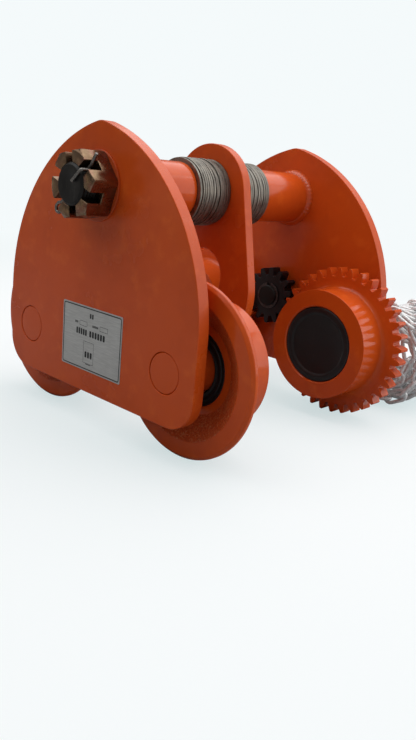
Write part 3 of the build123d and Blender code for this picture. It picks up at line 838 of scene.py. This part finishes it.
# ------------------------------------------------------------------ hanger
@dataclass
class Hanger:
    """Swinging load plate with its eye."""

    top_radius: float = 47.8
    foot_radius: float = 67.0
    foot_height: float = 128.0
    eye_height: float = 141.0
    eye_radius: float = 27.5
    bush_radius: float = 22.0
    edge: float = 0.9

    def build(self) -> None:
        """Build the plate; its bush stays the frame's."""
        low, high = (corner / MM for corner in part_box("hanger_plate"))
        shaft = middle_of("load_shaft")
        lean = math.degrees(math.asin((self.foot_radius - self.top_radius) / (shaft.z - self.foot_height)))
        upper = (self.top_radius * math.cos(math.radians(lean)),
                 shaft.z + self.top_radius * math.sin(math.radians(lean)))
        shape = Shape()
        shape.path((0, self.foot_height - self.foot_radius), [
            ("arc", 0.0, self.foot_height, 90 + lean, 40), ("line", *upper),
            ("arc", 0.0, shaft.z, 90 - lean, 32)], low.y)
        bmesh.ops.mirror(shape.bm, geom=shape.bm.verts[:] + shape.bm.edges[:], axis="X", merge_dist=0.01)
        for z, radius in ((shaft.z, self.bush_radius), (self.eye_height, self.eye_radius)):
            shape.path((radius, z), [("arc", 0.0, z, 360, 80)], low.y)
        bmesh.ops.remove_doubles(shape.bm, verts=shape.bm.verts, dist=0.01)
        bmesh.ops.triangle_fill(shape.bm, use_beauty=True, edges=shape.bm.edges[:], normal=(0, -1, 0))
        shape.flatten()
        made = bmesh.ops.extrude_face_region(shape.bm, geom=shape.bm.faces[:], use_keep_orig=True)
        moved = [v for v in made["geom"] if isinstance(v, bmesh.types.BMVert)]
        bmesh.ops.translate(shape.bm, verts=moved, vec=(0, high.y - low.y, 0))
        bmesh.ops.recalc_face_normals(shape.bm, faces=shape.bm.faces)
        shape.finish("hanger_enamel", "hanger", "orange_paint", [Paint.PLATE, Paint.EDGE], edge_or_face,
                     self.edge, 3, 40, ["hanger_plate"])
        dress(Paint.BRONZE, "bronze", "hanger_bush")


# ------------------------------------------------------------------ wheels
@dataclass
class ToothRing:
    """Toothed band of a spur gear."""

    teeth: int
    tip_radius: float
    phase: float
    inner: float
    start: float
    end: float
    module: float = 4.2
    pressure: float = 20.0
    relief: float = 0.17
    flank_steps: int = 4

    def half_tooth(self) -> list[Point]:
        """Radius and angle of points from the middle of a space to the tip of a tooth."""
        pressure = math.radians(self.pressure)
        pitch_radius = self.module * self.teeth / 2
        base = pitch_radius * math.cos(pressure)
        half = math.pi / (2 * self.teeth) - self.relief / pitch_radius + math.tan(pressure) - pressure
        flank = []
        for i in range(self.flank_steps):
            r = base + (self.tip_radius - base) * (i / (self.flank_steps - 1)) ** 1.3
            roll = math.acos(min(1.0, base / r))
            flank.append((r, half - (math.tan(roll) - roll)))
        space = math.pi / self.teeth
        root = pitch_radius - 1.25 * self.module
        foot = flank[0][1] + 0.35 * (space - flank[0][1])
        return [(root, space), (root, foot)] + flank + [(self.tip_radius, 0.0)]

    @property
    def steps(self) -> int:
        """Number of vertices round the band."""
        return self.teeth * 2 * (self.flank_steps + 2)

    def cut(self, shape: Shape, centre: Vector, side: int) -> None:
        """Add the band to a shape, its inner edges open.

        Args:
            shape: Where it goes.
            centre: The gear's axis.
            side: Which way its distances run.
        """
        half = self.half_tooth()
        polar = half + [(r, -a) for r, a in reversed(half[:-1])]
        y = [MID_Y + side * self.start, MID_Y + side * self.end]
        middle = (centre.x, 0, centre.z)
        tip = [shape.bm.verts.new((centre.x + r * math.cos(-a), y[0], centre.z + r * math.sin(-a)))
               for r, a in polar]
        outline = [shape.bm.edges.new(pair) for pair in zip(tip, tip[1:])]
        made = bmesh.ops.extrude_edge_only(shape.bm, edges=outline)["geom"]
        far = [v for v in made if isinstance(v, bmesh.types.BMVert)]
        far_edges = [e for e in made if isinstance(e, bmesh.types.BMEdge)
                     and all(v in far for v in e.verts)]
        bmesh.ops.translate(shape.bm, verts=far, vec=(0, y[1] - y[0], 0))
        faces = [f for f in made if isinstance(f, bmesh.types.BMFace)]
        inner = []
        for edges in (outline, far_edges):
            made = bmesh.ops.extrude_edge_only(shape.bm, edges=edges)["geom"]
            inner += [v for v in made if isinstance(v, bmesh.types.BMVert)]
            faces += [f for f in made if isinstance(f, bmesh.types.BMFace)]
        pitch = math.tau / (self.teeth * (len(polar) - 1))
        for vert in inner:
            place = min(range(len(tip)), key=lambda i: (tip[i].co.x - vert.co.x) ** 2
                        + (tip[i].co.z - vert.co.z) ** 2)
            angle = (place - (len(tip) - 1) / 2) * pitch
            vert.co.x = centre.x + self.inner * math.cos(angle)
            vert.co.z = centre.z + self.inner * math.sin(angle)
        tooth = list({v for f in faces for v in f.verts})
        bmesh.ops.rotate(shape.bm, verts=tooth, cent=middle,
                         matrix=Matrix.Rotation(-math.radians(self.phase), 3, "Y"))
        whole = faces + list({e for f in faces for e in f.edges}) + tooth
        bmesh.ops.spin(shape.bm, geom=whole, cent=middle, axis=(0, 1, 0), dvec=(0, 0, 0),
                       angle=math.tau * (self.teeth - 1) / self.teeth, steps=self.teeth - 1,
                       use_duplicate=True)


@dataclass
class Wheel:
    """A trolley wheel with its cap, seal and bearing."""

    side: Side
    hand: Hand
    tread_radius: float = 57.6
    tread_start: float = 74.5
    flange_radius: float = 79.6
    flange_inner: float = 113.0
    flange_outer: float = 121.0
    bore: float = 40.0
    seal_bore: float = 34.5
    bearing_start: float = 80.4
    bearing_end: float = 101.4
    gear_start: float = 110.0
    gear_end: float = 123.7
    gear_teeth: int = 36
    pinion_teeth: int = 14
    module: float = 4.2
    dish: tuple[float, float] = (42.2, 62.0)
    dish_floor: float = 104.0

    @property
    def body(self) -> str:
        """Frame body of the wheel."""
        return f"{self.side.word}_wheel_{self.hand.word}"

    @property
    def tail(self) -> str:
        """Ending of the wheel's node names."""
        return f"{self.side.word}_{self.hand.word}"

    def hub(self) -> list[Point]:
        """Profile of the bored hub, from its dished face to its open face."""
        return [(42.0, self.bearing_end + 4.2), (self.seal_bore, self.bearing_end + 4.2),
                (self.seal_bore, self.bearing_end), (self.bore, self.bearing_end),
                (self.bore, self.tread_start + 1.3), (self.bore + 1.3, self.tread_start)]

    def tread(self) -> list[Point]:
        """Profile of the running surface, from the open face."""
        return [(self.tread_radius, self.tread_start), (self.tread_radius, self.tread_start + 1.0)]

    def build_plain(self, centre: Vector) -> Shape:
        """Shape of a wheel with a plain flange."""
        r, f = self.tread_radius, self.flange_inner
        outside = self.tread() + [
            (r, f - 3.0), (r + 0.9, f - 0.9), (r + 3.0, f), (self.flange_radius - 1.6, f + 0.6),
            (self.flange_radius, f + 2.0), (self.flange_radius, self.flange_outer - 2.4),
            (76.8, self.flange_outer), (63.3, self.flange_outer), (60.4, self.flange_outer - 2.0),
            (47.0, self.flange_outer - 12.5)]
        return Shape().turn(self.hub() + outside, centre, self.side.value, 160)

    def gear_phase(self) -> float:
        """Angle of a tooth that leaves the wheel in mesh with the pinion, in degrees."""
        wheel, pinion = middle_of(f"wheel_geared_{Hand.RIGHT.word}"), middle_of("pinion_shaft")
        line = math.degrees(math.atan2(pinion.z - wheel.z, pinion.x - wheel.x))
        step = 360 / self.pinion_teeth
        past = ((line - 180 - 90) % step) / step
        right = line + (past + 0.5) * 360 / self.gear_teeth
        return right if self.hand is Hand.RIGHT else 180 - right

    def build_geared(self, centre: Vector) -> Shape:
        """Shape of a wheel whose flange is a gear."""
        r, inner = self.tread_radius, self.module * self.gear_teeth / 2 - 9
        ring = ToothRing(self.gear_teeth, self.module * (self.gear_teeth / 2 + 1), self.gear_phase(), inner,
                         self.gear_start, self.gear_end)
        back = [(inner, self.gear_end), (62.0, self.gear_end), (59.0, self.gear_end - 2.0),
                (46.5, self.gear_end - 14.0)]
        front = self.tread() + [(r, self.gear_start - 4.0), (r + 0.4, self.gear_start - 2.6),
                                (r + 1.4, self.gear_start - 1.2), (r + 4.0, self.gear_start),
                                (inner, self.gear_start)]
        shape = Shape()
        ring.cut(shape, centre, self.side.value)
        shape.turn(back + self.hub() + front, centre, self.side.value, ring.steps, False, ring.phase)
        return shape

    def build(self) -> None:
        """Build the wheel and what turns with it."""
        node = f"wheel_{self.tail}"
        centre = middle_of(node)
        geared = self.side is Side.GEARED
        shape = self.build_geared(centre) if geared else self.build_plain(centre)

        def ground(face: bmesh.types.BMFace) -> int:
            """Cast skin in the dish, turned elsewhere."""
            middle = face.calc_center_median()
            radius = math.hypot(middle.x - centre.x, middle.z - centre.z)
            distance = self.side.value * (middle.y - MID_Y)
            outward = self.side.value * face.normal.y > 0.1
            return int(self.dish[0] < radius < self.dish[1] and distance > self.dish_floor
                       and outward)

        shape.finish(f"{self.body}_rim", self.body, "orange_paint", [Paint.TURNED, Paint.CAST], ground,
                     0.45 if geared else 0.8, 2, 30, [node])
        self._cap(centre)
        self._seal(centre)
        dress(Paint.RACE, "bearing_steel", f"bearing_outer_ring_{self.tail}", f"bearing_balls_{self.tail}")
        dress(Paint.SPRING, "spring_steel", f"bore_circlip_{self.tail}")

    def _cap(self, centre: Vector) -> None:
        """Pressed cap with a raised bead round its rim."""
        face = self.tread_start + 0.6
        profile = [(0.0, face + 2.3), (30.6, face + 2.3), (31.8, face + 1.7), (33.0, face + 0.3),
                   (34.2, face), (37.6, face), (39.2, face + 0.5), (39.85, face + 1.6), (39.85, face + 3.1),
                   (38.4, face + 3.1), (0.0, face + 3.1)]
        Shape().turn(profile, centre, self.side.value, 128, False).finish(
            f"{self.body}_cap", self.body, "black_cap", [Paint.CAP], angle=50,
            replaces=[f"dust_cap_{self.tail}"])

    def _seal(self, centre: Vector) -> None:
        """Rubber seal with a raised lip and two grooves."""
        low, outer, inner = self.bearing_end + 0.1, self.seal_bore - 0.05, 22.3
        high = low + 3.9
        profile = [(inner, low), (inner, high - 1.6), (inner + 0.9, high - 0.2), (inner + 1.8, high),
                   (inner + 2.6, high - 0.9), (inner + 4.6, high - 1.1), (inner + 5.2, high - 0.4),
                   (inner + 7.4, high - 0.2), (inner + 8.2, high - 1.2), (outer - 1.2, high - 1.0),
                   (outer - 0.6, high), (outer, high - 0.5), (outer, low)]
        Shape().turn(profile, centre, self.side.value, 96).finish(
            f"{self.body}_seal", self.body, "black_rubber", [Paint.SEAL], angle=55,
            replaces=[f"hub_seal_{self.tail}"])


@dataclass
class WheelAxle:
    """Axle that is fixed in a side plate, its end almost flush with the outside."""

    side: Side
    hand: Hand
    journal: float = 17.5
    bearing_start: float = 80.4
    inner_face: float = 131.1
    outer_face: float = 143.1

    def build(self) -> None:
        """Build the axle."""
        node = f"wheel_axle_{self.side.word}_{self.hand.word}"
        centre = middle_of(node)
        s, r, p, q = self.bearing_start, self.journal, self.inner_face, self.outer_face
        profile = [(0, s - 2.8), (r - 1.2, s - 2.8), (r - 0.4, s - 2.0), (r - 0.4, s - 1.5),
                   (r - 1.2, s - 1.5), (r - 1.2, s), (r, s), (r, p - 4.0), (r + 8, p - 4.0), (r + 8, p),
                   (r + 0.4, p), (r + 0.4, q - 1.3), (r - 0.35, q - 0.35), (r - 1.4, q - 0.3), (0, q - 0.3)]

        def part(face: bmesh.types.BMFace) -> int:
            """Blackened between the wheel and the plate, enamelled outside."""
            return int(abs(face.calc_center_median().y - MID_Y) < p)

        Shape().turn(profile, centre, self.side.value, 96, False).finish(
            f"axle_{self.side.word}_{self.hand.word}", "frame", "orange_paint",
            [Paint.TURNED, Paint.SHAFT], part, 0.25, 2, 28, [node])


# ------------------------------------------------------------------ drive
@dataclass
class Drive:
    """Pinion, its shaft and housing."""

    teeth: int = 14
    module: float = 4.2
    start: float = 111.5
    end: float = 125.5
    tip_cut: float = 1.0
    bore: float = 12.05
    boss: float = 18.0
    boss_end: float = 130.6
    band: float = 20.5

    def build(self) -> None:
        """Build the drive's turned and toothed pieces."""
        centre = middle_of("pinion_shaft")
        ring = ToothRing(self.teeth, self.module * (self.teeth / 2 + 1) - self.tip_cut, 90.0, self.band,
                         self.start, self.end)
        shape = Shape()
        ring.cut(shape, centre, 1)
        back = [(self.band, self.end), (self.boss, self.end), (self.boss, self.boss_end),
                (self.bore, self.boss_end), (self.bore, self.start), (self.band - 1.2, self.start),
                (self.band, self.start)]
        shape.turn(back, centre, 1, ring.steps, False, ring.phase)
        shape.finish("pinion_black", "drive", "black_steel", [Paint.PINION], None, 0.55, 2, 30, ["pinion"])
        for node, body, slot, paint, edge in (
                ("pinion_shaft", "drive", "dark_shaft", Paint.SHAFT, 0.3),
                ("pinion_housing", "frame", "orange_paint", Paint.TURNED, 0.5),
                ("thrust_washer", "frame", "spring_steel", Paint.SPRING, 0.0),
                ("hand_wheel_rim", "drive", "orange_paint", Paint.CAST, 0.6),
                ("hand_wheel_spokes", "drive", "orange_paint", Paint.CAST, 0.8),
                ("hand_wheel_hub", "drive", "orange_paint", Paint.CAST, 0.5)):
            piece = Shape.from_node(node).flatten()
            piece.finish(f"{node}_finished", body, slot, [paint], None, edge, 2, 30, [node])
        dress(Paint.SHAFT, "dark_shaft", "drive_keys")
        dress(Paint.SPRING, "spring_steel", "drive_circlips", "axle_circlips")
        dress(Paint.BRONZE, "bronze", "pinion_bushes")
        dress(Paint.RACE, "bearing_steel", "bearing_inner_rings")
        dress(Paint.TURNED, "orange_paint", "axle_spacers")


@dataclass
class HandChain:
    """Endless short-link hand chain, over the hand wheel and coiled beside it."""

    wire: float = 4.5
    inner_width: float = 7.5
    pitch: float = 23.0
    round_steps: int = 9
    end_steps: int = 7

    def link(self, shape: Shape) -> list[bmesh.types.BMVert]:
        """Add one link that lies along X, flat in X-Y, and give its vertices."""
        before = set(shape.bm.verts)
        bend = (self.inner_width + self.wire) / 2
        half = (self.pitch - self.inner_width) / 2
        made = bmesh.ops.create_circle(shape.bm, segments=self.round_steps, radius=self.wire / 2)
        section = made["verts"]
        bmesh.ops.rotate(shape.bm, verts=section, matrix=Matrix.Rotation(math.pi / 2, 3, "Y"),
                         cent=(0, 0, 0))
        bmesh.ops.translate(shape.bm, verts=section, vec=(half, bend, 0))
        edges = list({e for v in section for e in v.link_edges})
        for sign in (1, -1):
            made = bmesh.ops.spin(shape.bm, geom=section + edges, cent=(sign * half, 0, 0), axis=(0, 0, 1),
                                  dvec=(0, 0, 0), angle=-math.pi, steps=self.end_steps)["geom_last"]
            section = [v for v in made if isinstance(v, bmesh.types.BMVert)]
            edges = [e for e in made if isinstance(e, bmesh.types.BMEdge)]
            made = bmesh.ops.extrude_edge_only(shape.bm, edges=edges)["geom"]
            section = [v for v in made if isinstance(v, bmesh.types.BMVert)]
            edges = [e for e in made if isinstance(e, bmesh.types.BMEdge)
                     and all(v in section for v in e.verts)]
            bmesh.ops.translate(shape.bm, verts=section, vec=(-sign * 2 * half, 0, 0))
        fresh = [v for v in shape.bm.verts if v not in before]
        bmesh.ops.remove_doubles(shape.bm, verts=fresh, dist=0.01)
        return [v for v in shape.bm.verts if v not in before]

    def build(self) -> None:
        """Build a link at the place of each of the frame's links."""
        solid = Shape.from_node("hand_chain")
        shape, loose = Shape(), set(solid.bm.verts)
        while loose:
            island, queue = [], [loose.pop()]
            while queue:
                vert = queue.pop()
                island.append(vert.co[:])
                for line in vert.link_edges:
                    other = line.other_vert(vert)
                    if other in loose:
                        loose.discard(other)
                        queue.append(other)
            points = np.array(island)
            centre = points.mean(0)
            axes = np.linalg.svd(points - centre, full_matrices=False)[2]
            turn = Matrix((axes[0], axes[1], np.cross(axes[0], axes[1]))).transposed().to_4x4()
            verts = self.link(shape)
            bmesh.ops.transform(shape.bm, verts=verts, matrix=Matrix.Translation(Vector(centre)) @ turn)
        solid.bm.free()
        bmesh.ops.recalc_face_normals(shape.bm, faces=shape.bm.faces)
        shape.finish("hand_chain_links", "frame", "bright_zinc", [Paint.CHAIN], angle=80,
                     replaces=["hand_chain"])


# ------------------------------------------------------------------ studio
@dataclass
class Studio:
    """Pale floor, soft light and the camera."""

    position: Point = (0.5053, -0.5846)
    height: float = 0.2445
    azimuth: float = 42.61
    elevation: float = 15.81
    roll: float = 5.38
    lens: float = 34.02
    pale: Colour = (0.91, 0.955, 0.965)
    floor_glow: Colour = (0.56, 0.66, 0.67)
    floor_shade: Colour = (0.34, 0.275, 0.27)
    cloth_dark: Colour = (0.36, 0.365, 0.37)
    cloth_light: Colour = (0.39, 0.395, 0.40)
    wall: Colour = (0.62, 0.52, 0.42)
    sky_tint: Colour = (0.96, 0.98, 1.0)
    floor_fade: Point = (0.5, 1.7)
    wall_start: Point = (2.5, 2.8)
    lamps: tuple = (((-0.10, 0.25, 1.25), (0.0, 0.0, 0.12), 1.9, 17.0),
                    ((1.25, 0.95, 0.75), (0.05, 0.0, 0.10), 1.5, 10.0),
                    ((-0.7, -1.0, 1.35), (0.0, -0.1, 0.15), 1.4, 5.4))

    def floor(self) -> None:
        """Wide pale floor that runs out to the backdrop's colour."""
        bm = bmesh.new()
        bmesh.ops.create_grid(bm, x_segments=8, y_segments=8, size=30.0)
        mesh = bpy.data.meshes.new("studio_floor")
        bm.to_mesh(mesh)
        bm.free()
        material, g = new_material("studio_floor")
        seen = g.node("ShaderNodeLightPath", output="Is Camera Ray")
        cloth = g.noise(g.place(), 3.0, 2.0)
        tone = g.blend(cloth, self.cloth_dark, self.cloth_light)
        grey = g.node("ShaderNodeBsdfDiffuse", None, {"Color": tone})
        reach = g.node("ShaderNodeVectorMath", {"operation": "LENGTH"}, {0: g.place()}, "Value")
        glow = g.node("ShaderNodeEmission", None, {"Color": (*self.floor_glow, 1), "Strength": 1.0})
        white = g.node("ShaderNodeBsdfDiffuse", None, {"Color": (*self.floor_shade, 1)})
        near = g.node("ShaderNodeAddShader", None, {0: glow, 1: white})
        pale = g.node("ShaderNodeEmission", None, {"Color": (*self.pale, 1), "Strength": 1.0})
        bright = g.node("ShaderNodeMixShader", None, {0: reach.between(*self.floor_fade), 1: near, 2: pale})
        wall = g.node("ShaderNodeEmission", None, {"Color": (*self.wall, 1), "Strength": 1.0})
        around = g.node("ShaderNodeMixShader", None, {0: reach.between(*self.wall_start), 1: grey, 2: wall})
        both = g.node("ShaderNodeMixShader", None, {0: seen, 1: around, 2: bright})
        g.node("ShaderNodeOutputMaterial", None, {"Surface": both})
        mesh.materials.append(material)
        floor = bpy.data.objects.new("studio_floor", mesh)
        bpy.context.scene.collection.objects.link(floor)

    def sky(self) -> None:
        """Backdrop: pale to the camera, brighter above and to the right for the light."""
        world = bpy.data.worlds.new("studio")
        world.use_nodes = True
        bpy.context.scene.world = world
        g = Graph(world.node_tree)
        seen = g.node("ShaderNodeLightPath", output="Is Camera Ray")
        way = g.node("ShaderNodeTexCoord", output="Generated")
        split = g.node("ShaderNodeSeparateXYZ", None, {0: way}).link.node
        x, y, z = (Socket(g, split.outputs[i]) for i in range(3))
        right = (x * 0.8 + y * 0.6).between(-0.6, 0.9, 0.11, 0.37)
        level = right + z.between(0.15, 0.95, 0.0, 0.32)
        light = g.node("ShaderNodeBackground", None, {"Color": (*self.sky_tint, 1), "Strength": level})
        plain = g.node("ShaderNodeBackground", None, {"Color": (*self.pale, 1), "Strength": 1.0})
        both = g.node("ShaderNodeMixShader", None, {0: seen, 1: light, 2: plain})
        g.node("ShaderNodeOutputWorld", None, {"Surface": both})

    def light(self) -> None:
        """Large soft lamps."""
        for i, (where, towards, size, power) in enumerate(self.lamps):
            lamp = bpy.data.lights.new(f"soft_{i}", "AREA")
            lamp.shape = "SQUARE"
            lamp.size = size
            lamp.energy = power
            item = bpy.data.objects.new(f"soft_{i}", lamp)
            item.location = where
            way = Vector(towards) - Vector(where)
            item.rotation_euler = way.to_track_quat("-Z", "Y").to_euler()
            item.visible_camera = False
            bpy.context.scene.collection.objects.link(item)

    def camera(self) -> None:
        """Camera with a slight roll."""
        a, e, roll = (math.radians(v) for v in (self.azimuth, self.elevation, self.roll))
        back = Vector((math.sin(a) * math.cos(e), -math.cos(a) * math.cos(e), math.sin(e)))
        right = Vector((math.cos(a), math.sin(a), 0.0))
        up = back.cross(right)
        right, up = (math.cos(roll) * right + math.sin(roll) * up,
                     math.cos(roll) * up - math.sin(roll) * right)
        data = bpy.data.cameras.new("camera")
        data.lens = self.lens
        data.sensor_width = 36.0
        data.clip_start = 0.01
        camera = bpy.data.objects.new("camera", data)
        turn = Matrix((right, up, back)).transposed().to_4x4()
        camera.matrix_world = Matrix.Translation((*self.position, self.height)) @ turn
        bpy.context.scene.collection.objects.link(camera)
        bpy.context.scene.camera = camera

    def build(self) -> None:
        """Set up the whole studio."""
        bpy.context.scene.view_settings.view_transform = "Standard"
        self.floor()
        self.sky()
        self.light()
        self.camera()


def main() -> None:
    """Build every piece in order."""
    logging.basicConfig(level=logging.INFO, format="%(message)s")
    Studio().build()
    for side in Side:
        SidePlate(side).build()
    NamePlate().build()
    LoadShaft().build()
    SpacerTubes().build()
    ShimStack(Side.PLAIN, 14).build()
    ShimStack(Side.GEARED, 16).build()
    Hanger().build()
    for side in Side:
        for hand in Hand:
            Wheel(side, hand).build()
            WheelAxle(side, hand).build()
    Drive().build()
    HandChain().build()


if __name__ == "__main__":
    main()
